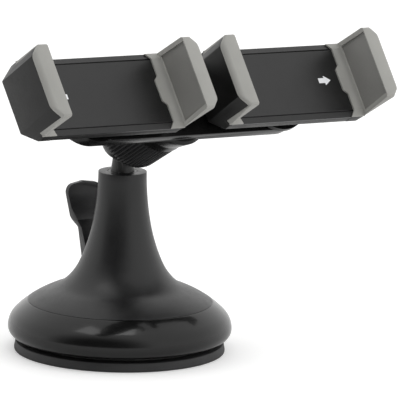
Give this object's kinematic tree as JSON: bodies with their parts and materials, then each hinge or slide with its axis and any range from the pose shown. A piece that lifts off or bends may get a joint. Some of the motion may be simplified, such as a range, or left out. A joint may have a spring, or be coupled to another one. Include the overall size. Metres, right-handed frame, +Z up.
{
  "type": "twin phone mount",
  "caption": "Suction-cup stand with a lever lock, a ball-jointed bar and sprung phone clamps that swivel on its ends.",
  "frame": {"origin": "centre of the suction disc's underside, on the surface that it grips", "axes": "+Z up along the stem, -Y towards the phones, +X along the bar to the right as seen by the user"},
  "size_m": [0.1598, 0.0922, 0.1176],
  "materials": {
    "disc_rubber": "matt black rubber",
    "ring_gloss": "polished black",
    "housing_satin": "satin black",
    "inner_plastic": "plain moulded",
    "lever_satin": "satin black",
    "stem_black": "smooth black",
    "nut_black": "fine ribbed black",
    "head_black": "satin black",
    "nylon": "natural nylon",
    "clamp_black": "satin black",
    "plate_black": "fine matt texture",
    "pad_grey": "soft matt grey",
    "steel": "bright zinc",
    "spring_steel": "drawn wire"
  },
  "bodies": {
    "base": {"base_ring": "ring_gloss", "cone_housing": "housing_satin", "base_plate": "inner_plastic", "base_screws": "steel", "lever_pin": "steel", "ball_stem": "stem_black", "stem_screw": "steel"},
    "disc": {"suction_disc": "disc_rubber", "backing_plate": "inner_plastic", "pull_stud": "steel", "stud_yoke": "inner_plastic", "stud_nut": "steel", "return_spring": "spring_steel"},
    "lever": {"lock_lever": "lever_satin"},
    "pan_pad": {"ball_pad": "disc_rubber"},
    "tilt_seat": {"ball_seat": "nylon"},
    "head": {"socket_cup": "head_black", "head_bar": "head_black", "hub_screw": "steel"},
    "nut": {"lock_nut": "nut_black"},
    "right_clamp": {"right_clamp_shell": "clamp_black", "right_clamp_plate": "plate_black", "right_clamp_screws": "steel", "right_fixed_pad": "pad_grey", "right_swivel_disc": "head_black", "right_swivel_washer": "spring_steel", "right_swivel_screw": "steel"},
    "right_jaw": {"right_jaw_shell": "clamp_black", "right_jaw_pad": "pad_grey", "right_jaw_springs": "spring_steel"},
    "left_clamp": {"left_clamp_shell": "clamp_black", "left_clamp_plate": "plate_black", "left_clamp_screws": "steel", "left_fixed_pad": "pad_grey", "left_swivel_disc": "head_black", "left_swivel_washer": "spring_steel", "left_swivel_screw": "steel"},
    "left_jaw": {"left_jaw_shell": "clamp_black", "left_jaw_pad": "pad_grey", "left_jaw_springs": "spring_steel"}
  },
  "joints": [
    {"name": "lever_lock", "type": "hinge", "parent": "base", "child": "lever", "pos_m": [0.00206, 0.00825, 0.0205], "axis": [-0.9703, 0.2419, 0], "range_deg": [0, 62]},
    {"name": "disc_pull", "type": "slide", "parent": "base", "child": "disc", "axis": [0, 0, 1], "range_m": [0, 0.00125], "deforming": ["return_spring"]},
    {"name": "ball_pan", "type": "hinge", "parent": "base", "child": "pan_pad", "pos_m": [0, 0, 0.0718], "axis": [0, 0, 1], "continuous": true},
    {"name": "ball_tilt", "type": "hinge", "parent": "pan_pad", "child": "tilt_seat", "pos_m": [0, 0, 0.0718], "axis": [-1, 0, 0], "range_deg": [0, 112]},
    {"name": "head_spin", "type": "hinge", "parent": "tilt_seat", "child": "head", "pos_m": [0, 0, 0.0718], "axis": [0, -0.829, 0.5592], "continuous": true},
    {"name": "nut_turn", "type": "hinge", "parent": "head", "child": "nut", "pos_m": [0, 0, 0.0718], "axis": [0, -0.829, 0.5592], "range_deg": [0, 270]},
    {"name": "right_clamp_turn", "type": "hinge", "parent": "head", "child": "right_clamp", "pos_m": [0.04203, -0.02863, 0.08658], "axis": [0, -0.829, 0.5592], "range_deg": [-90, 90]},
    {"name": "right_jaw_slide", "type": "slide", "parent": "right_clamp", "child": "right_jaw", "axis": [0.996, -0.0497, -0.0737], "range_m": [0, 0.025], "stiffness_N_per_m": 250, "springref_m": -0.02, "deforming": ["right_jaw_springs"]},
    {"name": "left_clamp_turn", "type": "hinge", "parent": "head", "child": "left_clamp", "pos_m": [-0.04203, -0.02443, 0.0928], "axis": [0, -0.829, 0.5592], "range_deg": [-90, 90]},
    {"name": "left_jaw_slide", "type": "slide", "parent": "left_clamp", "child": "left_jaw", "axis": [-0.996, 0.0497, 0.0737], "range_m": [0, 0.025], "stiffness_N_per_m": 250, "springref_m": -0.02, "deforming": ["left_jaw_springs"]}
  ],
  "couplings": [
    {"joint": "disc_pull", "follows": "lever_lock", "m_per_rad": 0.0011378}
  ]
}
